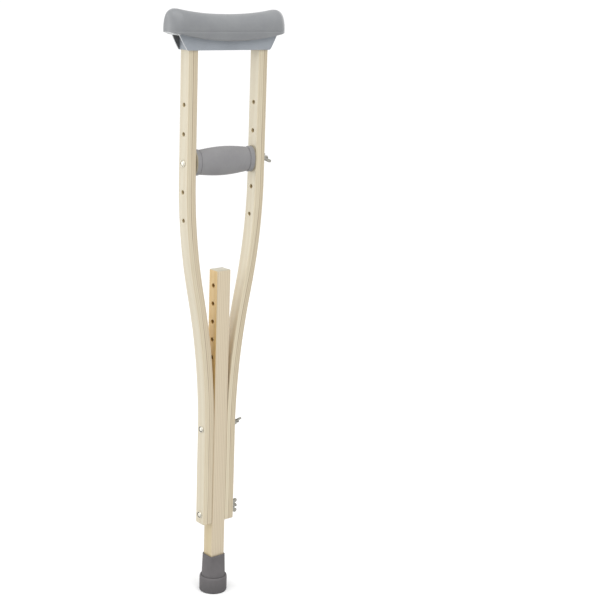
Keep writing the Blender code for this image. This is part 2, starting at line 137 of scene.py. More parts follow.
def turnAlongX(name, profile, height, steps):
    # spins a profile of (x, radius) points round a line along X at a height
    piece = drawLine(name, [(x, 0, height + radius) for x, radius in profile])
    pickAll(piece)
    bpy.ops.mesh.spin(steps=steps, angle=2 * pi, center=(0, 0, height), axis=(1, 0, 0))
    leaveEdit()
    cleanUp(piece)
    # spin gives its faces another order each run, so they are sorted
    pickAll(piece)
    bpy.context.scene.cursor.location = (sortFrom[0], sortFrom[1], height + sortFrom[2])
    bpy.ops.mesh.sort_elements(type="CURSOR_DISTANCE", elements={"EDGE", "FACE"})
    leaveEdit()
    return piece


def arc(centreX, centreY, radius, start, end, steps):
    angles = [radians(start + (end - start) * step / steps) for step in range(steps + 1)]
    return [(centreX + radius * cos(angle), centreY + radius * sin(angle)) for angle in angles]


def skinRings(name, rings):
    # a cylinder cut into rings, with each ring's points moved to their places
    count, last = len(rings[0]), len(rings) - 1
    deselect()
    bpy.ops.mesh.primitive_cylinder_add(vertices=count, radius=1, depth=last, location=(0, 0, last / 2))
    piece = bpy.context.object
    piece.name = name
    settle(piece)
    pick(piece, "edges", lambda a, b: abs(a.z - b.z) > 0.5)
    bpy.ops.mesh.subdivide(number_cuts=last - 1)
    leaveEdit()
    for vertex in piece.data.vertices:
        turn = atan2(vertex.co.y, vertex.co.x) / (2 * pi)
        vertex.co = rings[round(vertex.co.z)][round(turn * count) % count]
    cleanUp(piece)
    return piece


def finishPiece(piece, body, slot, material, *nodes, sharpAngle=35):
    # smooth shading, material, body and the nodes that the piece stands for
    makeActive(piece)
    bpy.ops.object.shade_smooth_by_angle(angle=radians(sharpAngle))
    piece.data.materials.clear()
    piece.data.materials.append(material)
    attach(piece, body)
    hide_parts(*nodes)


def dressFaces(piece, material, test):
    # gives the faces whose middle and normal pass the test another material
    piece.data.materials.append(material)
    for face in piece.data.polygons:
        if test(face.center, face.normal):
            face.material_index = len(piece.data.materials) - 1


def darkenHoles(piece, material, heights, radius):
    # gives the walls of the holes along X their own material: bare wood, which in the leg is darkened with
    # painted shade
    def inHole(middle, normal):
        return abs(normal.x) < 0.9 and any(hypot(middle.y, middle.z - height) < radius for height in heights)

    dressFaces(piece, material, inHole)


# Shader maths

class Signal:
    # a shader socket that can stand in a sum
    def __init__(self, tree, output=None):
        self.tree = tree
        self.output = output

    def node(self, kind, settings=None, inputs=None, output=0):
        made = self.tree.nodes.new("ShaderNode" + kind)
        for key, value in (settings or {}).items():
            setattr(made, key, value)
        for key, value in (inputs or {}).items():
            if isinstance(value, Signal):
                self.tree.links.new(value.output, made.inputs[key])
            else:
                made.inputs[key].default_value = value
        return Signal(self.tree, made.outputs[output])

    def math(self, operation, *values):
        return self.node("Math", {"operation": operation}, dict(enumerate(values)))

    def __add__(self, other):
        return self.math("ADD", self, other)

    def __radd__(self, other):
        return self.math("ADD", other, self)

    def __sub__(self, other):
        return self.math("SUBTRACT", self, other)

    def __rsub__(self, other):
        return self.math("SUBTRACT", other, self)

    def __mul__(self, other):
        return self.math("MULTIPLY", self, other)

    def __abs__(self):
        return self.math("ABSOLUTE", self)

    def sine(self):
        return self.math("SINE", self)

    def parts(self):
        split = self.node("SeparateXYZ", {}, {0: self}).output.node
        return [Signal(self.tree, output) for output in split.outputs]

    def stretched(self, x, y, z):
        return self.node("VectorMath", {"operation": "MULTIPLY"}, {0: self, 1: (x, y, z)})

    def noise(self, scale, detail=3, roughness=0.5):
        inputs = {"Vector": self, "Scale": scale, "Detail": detail, "Roughness": roughness}
        return self.node("TexNoise", {}, inputs)

    def between(self, low, high):
        # 0 up to low, 1 from high on, smooth between
        return self.node("MapRange", {"interpolation_type": "SMOOTHSTEP"}, {0: self, 1: low, 2: high})

    def blend(self, low, high):
        # one colour where the signal is 0, the other where it is 1
        inputs = {0: self, 6: shaderColour(low), 7: shaderColour(high)}
        return self.node("Mix", {"data_type": "RGBA"}, inputs, 2)


def shaderColour(colour):
    # what a shader takes for a signal, or for a colour's values of 0 to 255 on screen
    if isinstance(colour, Signal):
        return colour
    shares = [value / 255 for value in colour]
    linear = [((share + 0.055) / 1.055) ** 2.4 if share > 0.04 else share / 12.92 for share in shares]
    return (*linear, 1.0)


def newMaterial(name):
    material = bpy.data.materials.new(name)
    material.use_nodes = True
    tree = material.node_tree
    return material, Signal(tree), tree.nodes["Principled BSDF"]


def wire(shader, **values):
    # sets or links the shader's sockets, with names written together
    for key, value in values.items():
        name = {"BaseColor": "Base Color", "CoatWeight": "Coat Weight", "CoatRoughness": "Coat Roughness"}
        socket = shader.inputs[name.get(key, key)]
        if isinstance(value, Signal):
            shader.id_data.links.new(value.output, socket)
        else:
            socket.default_value = value


# Materials

woodLook = {
    "wanderScale": (60, 60, 3),     # slow waves in the grain, across, in depth and along
    "driftScale": (25, 25, 2.2),
    "ringPitch": 0.0031,       # growth rings where the edge of a ply shows
    "ringWander": 0.0040,
    "ringSlant": 0.35,         # how much the rings lean through the depth
    "flamePitch": 0.0080,      # wider figure on the broad veneer faces
    "flameWander": 0.0300,
    "flameSlant": 0.8,
    "fibreWidth": 0.0007,
    "fibreLength": 0.0400,
    "edgeDepth": (0.0082, 0.0091),  # edge grain takes over between these distances from the middle
    "roughness": 0.42,
    "fibreGloss": 0.16,
    "relief": 0.00012,
    "coat": 0.35,
    "coatRoughness": 0.22,
    "bareScale": (60, 700, 700),    # fibres of the unlacquered wood
    "bareRoughness": 0.6,
    "bareRelief": 0.0002,
}
seam = {
    "line": 0.00024,           # half the glue line's width
    "blur": 2.6,               # it is gone at this many times that
    "wander": 0.0030,
    "left": 0.0022,            # how far left of the middle it lies in the lower half
    "shift": 0.0024,           # and how far it moves back to the right above that
    "shiftAlong": (0.44, 0.56),
    "mix": 0.0004,
    "patchScale": (8, 8, 9),   # the line comes and goes
}
boardShift = {
    "right": (-0.0022, 0, 0),  # moves the grain on each bow's board
    "left": (-0.0003, 0, 3.7),
    "split": (1.5, 2.5),       # board lengths below are the right bow's, above the left one's
}
legTones = {
    "claspFrom": (0.12, 0.21),      # heights over which the foot's tone turns into the clasped part's
    "claspTo": (0.38, 0.45),
    "wander": 0.02,
    "sawnDepth": (0.0012, 0.0004),  # the sawn end's tone sets in between these depths under the top
}


def startWood(name):
    # the mesh's own board coordinates run across the plies, in depth and along the grain
    material, start, shader = newMaterial(name)
    board = start.node("Attribute", {"attribute_name": "board"}, output="Vector")
    width, length = 1 / woodLook["fibreWidth"], 1 / woodLook["fibreLength"]
    fibre = board.stretched(width, width, length).noise(1, 3, 0.6)
    wander = board.stretched(*woodLook["wanderScale"]).noise(1, 2)
    drift = board.stretched(*woodLook["driftScale"]).noise(1, 2)
    return material, shader, board, fibre, wander, drift


def lacquer(shader, colour, fibre):
    gloss = woodLook["roughness"] + fibre * woodLook["fibreGloss"] - woodLook["fibreGloss"] / 2
    bump = fibre.node("Bump", {}, {"Strength": 0.25, "Distance": woodLook["relief"], "Height": fibre})
    wire(shader, BaseColor=colour, Roughness=gloss, Normal=bump,
         CoatWeight=woodLook["coat"], CoatRoughness=woodLook["coatRoughness"])


def faceGrain(board, fibre, drift, light, dark):
    # long flame figure of the broad veneer faces
    across, depth = board.parts()[:2]
    spot = depth * woodLook["flameSlant"] + across + drift * woodLook["flameWander"]
    spot = spot * (2 * pi / woodLook["flamePitch"])
    ring = (spot.sine() + 1) * 0.5
    return (ring * 0.30 + fibre * 0.8 + drift * 0.8 - 0.45).between(0.0, 1.2).blend(light, dark)


def edgeGrain(board, fibre, wander, drift, light, dark):
    # straight growth lines where the plies show their edges
    across, depth = board.parts()[:2]
    spot = across + depth * woodLook["ringSlant"] + wander * woodLook["ringWander"]
    spot = spot * (2 * pi / woodLook["ringPitch"])
    ring = (spot.sine() + 1) * 0.5
    return (ring * 0.55 + fibre * 0.75 + drift * 0.5 - 0.35).between(0.1, 1.1).blend(light, dark)


def makeBowWood(name):
    # two laminated plies, the first one paler, with a thin glue line that comes and goes between them
    material, shader, board, fibre, wander, drift = startWood(name)
    across, depth, along = board.parts()
    onEdge = abs(depth).between(*woodLook["edgeDepth"])
    face = faceGrain(board, fibre, drift, (217, 209, 187), (204, 191, 164))
    pale = edgeGrain(board, fibre, wander, drift, (222, 211, 184), (208, 194, 165))
    # the darker ply of the left bow is a little paler than the right one's
    isLeft = along.between(*boardShift["split"])
    light = isLeft.blend((212, 199, 170), (216, 202, 174))
    dark = isLeft.blend((189, 172, 143), (198, 182, 153))
    deep = edgeGrain(board, fibre, wander, drift, light, dark)
    place = across + wander * seam["wander"] + seam["left"]
    place = place - along.between(*seam["shiftAlong"]) * seam["shift"]
    edge = place.between(-seam["mix"], seam["mix"]).blend(pale, deep)
    line = 1 - abs(place).between(seam["line"], seam["line"] * seam["blur"])
    strength = board.stretched(*seam["patchScale"]).noise(1, 2).between(0.38, 0.62)
    edge = (line * (strength * 0.6 + 0.15)).blend(edge, (140, 112, 84))
    lacquer(shader, onEdge.blend(face, edge), fibre)
    return material


def makeLegWood(name):
    # one solid board with a pale sawn top, its sides ambered above the foot and deepest between the bows;
    # that amber is partly the wood's tone and partly painted shade and warm bounce from the bows
    material, shader, board, fibre, wander, drift = startWood(name)
    depth, along = board.parts()[1:]
    onEdge = abs(depth).between(*woodLook["edgeDepth"])
    foot = faceGrain(board, fibre, drift, (207, 191, 154), (194, 174, 133))
    # the clasped part's deeper amber is partly the wood's tone and partly painted shade and bounce from the
    # bows
    claspToneAndShade = faceGrain(board, fibre, drift, (220, 188, 125), (204, 165, 99))
    high = faceGrain(board, fibre, drift, (224, 196, 142), (207, 173, 112))
    height = along + drift * legTones["wander"]
    low = height.between(*legTones["claspFrom"]).blend(foot, claspToneAndShade)
    side = height.between(*legTones["claspTo"]).blend(low, high)
    edge = edgeGrain(board, fibre, wander, drift, (219, 205, 178), (204, 187, 158))
    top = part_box("extension_leg")[1].z
    start, end = [top - under for under in legTones["sawnDepth"]]
    sawn = fibre.between(0.2, 0.8).blend((204, 198, 178), (186, 178, 156))
    lacquer(shader, along.between(start, end).blend(onEdge.blend(side, edge), sawn), fibre)
    return material


def makeBareWood(name, light, dark):
    # unlacquered wood on plain object coordinates
    material, start, shader = newMaterial(name)
    place = start.node("TexCoord", output="Object")
    fibre = place.stretched(*woodLook["bareScale"]).noise(1, 3, 0.6)
    bump = start.node("Bump", {}, {"Strength": 0.3, "Distance": woodLook["bareRelief"], "Height": fibre})
    colour = fibre.between(0.25, 0.8).blend(light, dark)
    wire(shader, BaseColor=colour, Roughness=woodLook["bareRoughness"] + fibre * 0.2, Normal=bump)
    return material


rubberLook = {
    "mottleScale": 38,
    "grain": 0.0006,           # fine grain of the mould
    "relief": 0.00003,
    "unevenGloss": 0.16,
    "lowToneHeight": (0.003, 0.03),
    "lowToneWander": 0.006,
}


def makeRubber(name, light, dark, roughness, lowTone=None):
    # moulded rubber with a soft mottle and, where asked for, a darker tone towards the ground
    material, start, shader = newMaterial(name)
    place = start.node("TexCoord", output="Object")
    mottle = place.noise(rubberLook["mottleScale"], 3, 0.6)
    speck = place.noise(1 / rubberLook["grain"], 2, 0.7)
    colour = (mottle * 0.75 + speck * 0.35 - 0.05).between(0.2, 0.8).blend(light, dark)
    if lowTone:
        height = place.parts()[2] + mottle * rubberLook["lowToneWander"]
        colour = height.between(*rubberLook["lowToneHeight"]).blend(lowTone, colour)
    relief = {"Strength": 0.35, "Distance": rubberLook["relief"], "Height": speck + mottle * 0.5}
    gloss = roughness + mottle * rubberLook["unevenGloss"] - rubberLook["unevenGloss"] / 2
    wire(shader, BaseColor=colour, Roughness=gloss, Normal=start.node("Bump", {}, relief))
    return material


zincLook = {
    "patchScale": 420,
    "scratchScale": (300, 2600, 2600),
    "relief": 0.00002,
    "patchGloss": 0.22,
}


def makeZinc(name, bright, dull, roughness):
    # zinc plate, with rubbed and duller patches
    material, start, shader = newMaterial(name)
    place = start.node("TexCoord", output="Object")
    patch = place.noise(zincLook["patchScale"], 3, 0.6)
    scratch = place.stretched(*zincLook["scratchScale"]).noise(1, 2, 0.6)
    bump = start.node("Bump", {}, {"Strength": 0.2, "Distance": zincLook["relief"], "Height": scratch})
    wire(shader, BaseColor=patch.between(0.3, 0.75).blend(bright, dull), Metallic=1.0,
         Roughness=roughness + patch * zincLook["patchGloss"], Normal=bump)
    return material


bowWood = makeBowWood("lacqueredBowWood")
legWood = makeLegWood("lacqueredLegWood")
bareWood = makeBareWood("bareWood", (215, 190, 150), (185, 154, 112))
bowHoleWood = makeBareWood("bowHoleWood", (206, 190, 154), (188, 171, 134))
# bare wood of the leg's hole walls, darkened with painted shade
legHoleWoodAndShade = makeBareWood("legHoleWoodAndShade", (176, 138, 78), (152, 114, 56))
padRubber = makeRubber("greyPadRubber", (144, 146, 148), (132, 134, 137), 0.38)
# bluegrey rubber of the skirts, lighter than the pad partly as painted light that offsets the shade under
# the lip
skirtRubberPaintedLight = makeRubber("bluegreySkirtWithPaintedLight", (166, 172, 179), (156, 162, 169), 0.55)
# painted shade on the rubber inside the channel
channelPaintedShade = makeRubber("paintedShadeChannel", (98, 101, 104), (84, 87, 90), 0.75)
# near-white rubber is a painted highlight on the pad's overhanging ends
paleEdgePaintedHighlight = makeRubber("padEdgePaintedHighlight", (218, 220, 221), (200, 203, 205), 0.65)
gripRubber = makeRubber("greyGripRubber", (150, 149, 150), (139, 138, 140), 0.66)
# brownish tone of the grip's end flanges, painted shade of the gap against the bows
gripEndPaintedShade = makeRubber("gripFlangePaintedShade", (166, 157, 136), (150, 141, 121), 0.8)
tipRubber = makeRubber("darkTipRubber", (105, 102, 103), (93, 90, 91), 0.7, lowTone=(88, 86, 87))
zinc = makeZinc("plainZinc", (232, 229, 218), (206, 203, 191), 0.30)
# painted shade for the valleys round the bolt heads, softer on the grip's bolt
softValleyPaintedShadeZinc = makeZinc("softValleyPaintedShadeZinc", (176, 170, 154), (156, 150, 134), 0.45)
valleyPaintedShadeZinc = makeZinc("zincValleyPaintedShade", (84, 80, 70), (62, 59, 51), 0.45)
castZinc = makeZinc("castZinc", (166, 164, 156), (134, 132, 125), 0.42)
print("materials made")

# Bows

legLow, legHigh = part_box("extension_leg")
bowLow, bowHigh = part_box("right_bow")
gripBoltLow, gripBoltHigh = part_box("handgrip_bolt")
gripHeight = (gripBoltLow.z + gripBoltHigh.z) / 2

bow = {
    "thickness": 0.0147,
    "edgeRound": 0.0014,
    "footRound": 0.0018,
    "lowerStraight": 0.1335,
    "lowerBend": 0.935,
    "middleStraight": 0.0210,
    "upperBend": 0.750,
    "holeRadius": 0.0027,
    "holeEase": 0.00035,       # small chamfer at each hole's mouth
    "holeSteps": 40,
    "holeToneEase": 0.6,        # share of the chamfer that has the hole's tone
    "handlePitch": 0.0381,
    "handleSpots": (-2, -1, 0, 1, 2),
    "rings": 110,
}

lowOffset = bowLow.x + bow["thickness"] / 2
highOffset = bowHigh.x - bow["thickness"] / 2
bends = bow["lowerBend"] + bow["upperBend"]
splay = atan2(bends, bow["middleStraight"])
splay += asin((highOffset - lowOffset - bends) / hypot(bends, bow["middleStraight"]))
bendStart = bowLow.z + bow["lowerStraight"]
straightStart = bendStart + bow["lowerBend"] * sin(splay)
straightEnd = straightStart + bow["middleStraight"] * cos(splay)
bendEnd = straightEnd + bow["upperBend"] * sin(splay)


def bowLine(height):
    # the bow's centreline at a height: its distance from the middle, and its lean
    if height <= bendStart:
        return lowOffset, 0
    if height <= straightStart:
        lean = asin((height - bendStart) / bow["lowerBend"])
        return lowOffset + bow["lowerBend"] * (1 - cos(lean)), lean
    if height <= straightEnd:
        return lowOffset + bow["lowerBend"] * (1 - cos(splay)) + (height - straightStart) * tan(splay), splay
    if height <= bendEnd:
        lean = asin((bendEnd - height) / bow["upperBend"])
        return highOffset - bow["upperBend"] * (1 - cos(lean)), lean
    return highOffset, 0


def boardPlace(x, y, z):
    # where a point of the bent bow lay in the straight board: across, depth and along
    if z <= bendStart:
        return x - lowOffset, y, z
    centreX = lowOffset + bow["lowerBend"]
    angle = atan2(z - bendStart, centreX - x)
    if angle <= splay:
        return bow["lowerBend"] - hypot(z - bendStart, centreX - x), y, bendStart + bow["lowerBend"] * angle
    bendLength = bendStart + bow["lowerBend"] * splay
    startX = lowOffset + bow["lowerBend"] * (1 - cos(splay))
    onward = (x - startX) * sin(splay) + (z - straightStart) * cos(splay)
    if onward <= bow["middleStraight"]:
        return (x - startX) * cos(splay) - (z - straightStart) * sin(splay), y, bendLength + onward
    centreX = highOffset - bow["upperBend"]
    angle = max(atan2(bendEnd - z, x - centreX), 0)
    along = bendLength + bow["middleStraight"] + bow["upperBend"] * (splay - angle)
    if z <= bendEnd:
        return hypot(bendEnd - z, x - centreX) - bow["upperBend"], y, along
    return x - highOffset, y, along + z - bendEnd


def markBoard(piece, place, shift, flip=1):
    # stores the straight board's coordinates on the mesh, for the grain to follow
    spots = piece.data.attributes.new("board", "FLOAT_VECTOR", "POINT")
    for vertex, spot in zip(piece.data.vertices, spots.data):
        across, depth, along = place(*vertex.co)
        spot.vector = Vector((flip * across, depth, along)) + Vector(shift)


def drillThrough(piece, inner, outer, height, radius, ease):
    # a hole along X with both its mouths eased
    past = 0.001
    flare = radius + ease + past
    profile = [(inner - past, 0), (inner - past, flare), (inner + ease, radius)]
    profile += [(outer - ease, radius), (outer + past, flare), (outer + past, 0)]
    cut(piece, turnAlongX("drill", profile, height, bow["holeSteps"]))


bowHoles = [gripHeight + spot * bow["handlePitch"] for spot in bow["handleSpots"]]
for node in ("upper_leg_bolt", "lower_leg_bolt"):
    boltLow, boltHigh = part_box(node)
    bowHoles.append((boltLow.z + boltHigh.z) / 2)


def makeBow():
    height = bowHigh.z - bowLow.z
    depth = bowHigh.y - bowLow.y
    half = bow["thickness"] / 2
    piece = addBlock("rightUpright", (bow["thickness"], depth, height), (0, 0, bowLow.z + height / 2))
    pick(piece, "edges", lambda a, b: max(a.z, b.z) < bowLow.z + tiny and abs(a.x - b.x) > tiny)
    bpy.ops.mesh.bevel(offset=bow["footRound"], segments=8, affect="EDGES")
    leaveEdit()
    pick(piece, "edges", lambda a, b: abs(a.z - b.z) > height / 2)
    bpy.ops.mesh.subdivide(number_cuts=bow["rings"])
    leaveEdit()
    pick(piece, "edges", lambda a, b: abs(a.x - b.x) < tiny and abs(a.y - b.y) < depth - tiny)
    bpy.ops.mesh.bevel(offset=bow["edgeRound"], segments=5, affect="EDGES")
    leaveEdit()
    for vertex in piece.data.vertices:
        offset, lean = bowLine(vertex.co.z)
        across = vertex.co.x
        vertex.co.x = offset + across * cos(lean)
        vertex.co.z -= across * sin(lean)
    for spot in bowHoles:
        offset, lean = bowLine(spot)
        wide = half / cos(lean)
        drillThrough(piece, offset - wide, offset + wide, spot, bow["holeRadius"], bow["holeEase"])
    cleanUp(piece)
    return piece


rightUpright = makeBow()
leftUpright = rightUpright.copy()
leftUpright.data = rightUpright.data.copy()
leftUpright.name = "leftUpright"
bpy.context.scene.collection.objects.link(leftUpright)
# both bows are sawn from one laminated plank, so the paler ply lies to the left in each
markBoard(rightUpright, boardPlace, boardShift["right"])
markBoard(leftUpright, boardPlace, boardShift["left"], flip=-1)
for vertex in leftUpright.data.vertices:
    vertex.co.x = -vertex.co.x
pickAll(leftUpright)
bpy.ops.mesh.flip_normals()
leaveEdit()
holeReach = bow["holeRadius"] + bow["holeEase"] * bow["holeToneEase"]
for piece, node in ((rightUpright, "right_bow"), (leftUpright, "left_bow")):
    finishPiece(piece, "frame", "bow_wood", bowWood, node)
    darkenHoles(piece, bowHoleWood, bowHoles, holeReach)
print("bows made")

# Extension leg

leg = {
    "edgeRound": 0.0010,
    "endChamfer": 0.0012,
    "topHoleInset": 0.0218,
    "holePitch": 0.0254,
    "holes": 14,
}
legHoles = [legHigh.z - leg["topHoleInset"] - hole * leg["holePitch"] for hole in range(leg["holes"])]


def makeLeg():
    size = legHigh - legLow
    piece = addBlock("legBar", size, (legLow + legHigh) / 2)
    pick(piece, "edges", lambda a, b: abs(a.z - b.z) > size.z / 2)
    bpy.ops.mesh.bevel(offset=leg["edgeRound"], segments=5, affect="EDGES")
    leaveEdit()
    pick(piece, "edges", lambda a, b: abs(a.z - b.z) < tiny)
    bpy.ops.mesh.bevel(offset=leg["endChamfer"], segments=3, affect="EDGES")
    leaveEdit()
    for height in legHoles:
        drillThrough(piece, legLow.x, legHigh.x, height, bow["holeRadius"], bow["holeEase"])
    cleanUp(piece)
    markBoard(piece, lambda x, y, z: (x, y, z), (0, 0, 0))
    return piece


legBar = makeLeg()
finishPiece(legBar, "leg", "leg_wood", legWood, "extension_leg")
darkenHoles(legBar, legHoleWoodAndShade, legHoles, holeReach)
print("leg made")

# Underarm pad

padLow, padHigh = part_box("underarm_pad")
woodLow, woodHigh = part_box("underarm_crosspiece")

pad = {
    "crown": 0.0137,
    "saddleRise": 0.0094,
    "saddlePower": 2.25,
    "endRound": 0.0160,
    "planRound": 0.0180,
    "fullness": 2.3,
    "mouldLine": 0.0036,       # height of the parting line above the crosspiece's underside
    "leastBand": 0.0008,       # the band under the line keeps this height at the ends
    "channelDepth": 0.0005,    # shallow channel along the pad just over the parting line
    "channelPlace": 0.0012,
    "channelWidth": 0.0007,
    "crownSteps": 22,
    "wallHeight": 0.0048,      # closely spaced outline points from here down to the parting line
    "wallSteps": 16,
    "bandFullness": 4.2,
    "bandInset": 0.0004,
    "lipBead": 0.0004,         # the band's lower edge stands out again
    "beadPlace": 0.80,         # share of the band's height
    "beadWidth": 0.09,
    "bandShares": (0.1, 0.2, 0.3, 0.4, 0.5, 0.6, 0.66, 0.71, 0.76,
                   0.80, 0.84, 0.88, 0.92, 0.95, 0.98, 0.995, 1),
    "lipDrop": 0.0076,
    "lipSag": 0.0118,
    "lipStep": 0.0009,
    "endShares": (0.8, 0.95),  # widest lip in the narrowing end, and widest skirt under it
    "skirtThickness": 0.0018,
    "skirtHalfLength": 0.0670,
    "skirtSlant": 0.0110,
    "skirtCornerSoftness": 0.0006,
    "frontReach": 0.0015,      # the front skirt goes this much further on the left, with a longer slant
    "frontSlant": 0.0138,
    "skirtEdgeRound": 0.0005,
    "skirtFrom": 0.0002,       # the skirts' lighter rubber, partly painted light, begins this far under the lip
    "slantStep": 0.0011,       # outlines this close where the skirts slant
    "middleSteps": 48,
    "endFlat": 0.0015,         # the underside's taper stops this far from the end
    "endWall": 0.0010,         # thin wall across the channel, outside each bow
    "endWallRise": 0.0005,
    "thickness": 0.0130,       # the wooden crosspiece inside
    "gap": 0.0003,
}
padHalf = padHigh.x
woodTop = woodLow.z + pad["thickness"]
padTop = woodTop + pad["crown"]
channelHalf = woodHigh.x + pad["gap"]
endUnder = woodLow.z - pad["gap"]


def drawnIn(x, radius):
    # how far a rounded end comes in at a place along the pad
    past = abs(x) - (padHalf - radius)
    if past <= 0:
        return 0
    return radius - sqrt(max(radius ** 2 - past ** 2, 0))


def padLip(x):
    return woodLow.z - pad["lipDrop"] + pad["lipSag"] * (x / padHalf) ** 2


def skirtFoot(x, lip, longer):
    # height of a skirt's lower edge, level in the middle and slanted up to the lip at its ends
    soft = pad["skirtCornerSoftness"]
    slope = (lip - padLow.z) / (pad["frontSlant"] if longer else pad["skirtSlant"])
    past = (abs(x) - pad["skirtHalfLength"] - (pad["frontReach"] if longer else 0)) / soft
    return min(padLow.z + slope * soft * log(1 + exp(past)), lip)


def padSection(x, front):
    # half of the pad's outline at a place along it, from the top's middle down to the channel's roof
    wide = padHigh.y - drawnIn(x, pad["planRound"])
    top = padTop + pad["saddleRise"] * (abs(x) / padHalf) ** pad["saddlePower"] - drawnIn(x, pad["endRound"])
    lip = padLip(x)
    mould = max(woodLow.z + pad["mouldLine"], lip + pad["leastBand"])
    inner = woodHigh.y + pad["gap"]
    outer = inner + pad["skirtThickness"]
    lipShare, skirtShare = pad["endShares"]
    lipWide = min(outer + pad["lipStep"], wide * lipShare)
    outer, inner = min(outer, lipWide * skirtShare), min(inner, lipWide * lipShare)
    points = []
    power = 2 / pad["fullness"]
    lastAngle = acos((pad["wallHeight"] / (top - mould)) ** (1 / power))
    for step in range(pad["crownSteps"]):
        angle = lastAngle * (step / pad["crownSteps"]) ** 0.9
        points.append((wide * sin(angle) ** power, mould + (top - mould) * cos(angle) ** power))
    thin = min(wide / padHigh.y, 1)
    for step in range(pad["wallSteps"] + 1):
        height = pad["wallHeight"] * (1 - step / pad["wallSteps"])
        off = (height - pad["channelPlace"]) / pad["channelWidth"]
        channel = thin * pad["channelDepth"] * exp(-(off / 2) ** 2 if off > 0 else -off ** 2)
        wall = wide * sin(acos((height / (top - mould)) ** (1 / power))) ** power
        points.append((wall - channel, mould + height))
    for share in pad["bandShares"]:
        bead = pad["lipBead"] * exp(-((share - pad["beadPlace"]) / pad["beadWidth"]) ** 2)
        out = (1 - share ** pad["bandFullness"]) ** (1 / pad["bandFullness"])
        inset = thin * (bead - pad["bandInset"] * min(share / 0.5, 1)) * out
        points.append((lipWide + (wide - lipWide) * out + inset, mould + (lip - mould) * share))
    foot = skirtFoot(x, lip, front and x < 0)
    roof = woodTop + (woodHigh.z - woodTop) * (x / woodHigh.x) ** 2 + pad["gap"]
    if abs(x) > channelHalf:
        # the underside rises to the lip towards the end
        share = (abs(x) - channelHalf) / (padHalf - pad["endFlat"] - channelHalf)
        roof = endUnder + (lip - endUnder) * min(share, 1)
    ease = min(pad["skirtEdgeRound"], (lip - foot) * 0.4)
    points += [(outer, lip), (outer, foot + ease)]
    points += arc(outer - ease, foot + ease, ease, -20, -90, 3)
    points += arc(inner + ease, foot + ease, ease, -90, -160, 3)
    points += [(inner, foot + ease), (inner, roof), (inner * 0.5, roof), (0, roof)]
    return points


def padPlaces():
    # places of the outlines along the pad, closest where the form turns fastest
    places = [padHalf - pad["planRound"] * (1 - sin(radians(angle))) for angle in range(0, 91, 5)]
    steps = pad["middleSteps"]
    places += [(padHalf - pad["planRound"]) * step / steps for step in range(steps)]
    places += [channelHalf - tiny, channelHalf + tiny]
    places += [pad["skirtHalfLength"] + pad["slantStep"] * step for step in range(-2, 15)]
    places = sorted(set(round(place, 6) for place in places))
    return [-place for place in reversed(places[1:])] + places


def padRing(x):
    back, front = padSection(x, False), padSection(x, True)
    mirrored = [(-y, z) for y, z in reversed(front[1:-1])]
    return [Vector((x, y, z)) for y, z in back + mirrored]


def makePad():
    piece = skinRings("armPad", [padRing(x) for x in padPlaces()])
    near = bowHigh.x + pad["gap"]
    bottom, top = padLow.z + pad["endWallRise"], woodLow.z - pad["gap"]
    size = (pad["endWall"], 2 * (woodHigh.y + pad["gap"]) + pad["skirtThickness"], top - bottom)
    for side in (-1, 1):
        middle = (side * (near + pad["endWall"] / 2), 0, (bottom + top) / 2)
        cut(piece, addBlock("endWall", size, middle), "UNION")
    cleanUp(piece)
    return piece


def belowLip(middle, normal):
    return middle.z < padLip(middle.x) - pad["skirtFrom"]


def inChannel(middle, normal):
    inside = abs(middle.y) < woodHigh.y + pad["gap"] + tiny and middle.z < woodHigh.z + 0.001
    inside = inside and abs(middle.x) < channelHalf + tiny
    return inside and not (abs(normal.x) > 0.7 and abs(middle.x) > bowHigh.x)


def onPaintedHighlightEdge(middle, normal):
    # underside of the overhanging ends, and the slanted cut ends of the skirts, which get a painted
    # highlight
    under = abs(middle.x) > channelHalf - tiny and middle.z > endUnder - tiny
    slanted = abs(middle.x) > pad["skirtHalfLength"] - 0.0005 and abs(normal.x) > 0.45
    across = abs(middle.y) > woodHigh.y + pad["gap"] - tiny
    return belowLip(middle, normal) and (under or slanted and across and middle.z < endUnder)


armPad = makePad()
finishPiece(armPad, "frame", "pad_rubber", padRubber, "underarm_pad", sharpAngle=40)
dressFaces(armPad, skirtRubberPaintedLight, belowLip)
dressFaces(armPad, channelPaintedShade, inChannel)
dressFaces(armPad, paleEdgePaintedHighlight, onPaintedHighlightEdge)
print("pad made")

# Handgrip

sleeveLow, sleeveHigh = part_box("handgrip_sleeve")

grip = {
    "waist": 0.0164,           # half heights; the depth is flatness times as much
    "collar": 0.0174,
    "flange": 0.0180,          # thin flange at each end, against the bow
    "flangeWidth": 0.0013,
    "flangeRound": 0.0003,
    "flatness": 0.61,
    "collarLength": 0.0085,
    "collarRound": 0.0012,
    "groove": 0.0012,
    "bore": 0.0078,
    "boreFlare": 0.0010,       # wider mouth of the bore, and its depth
    "boreEase": 0.0005,
    "ovalFrom": 0.0004,        # the oval sets in over this width round the bore
    "waistSteps": 24,
    "turnSteps": 96,
}


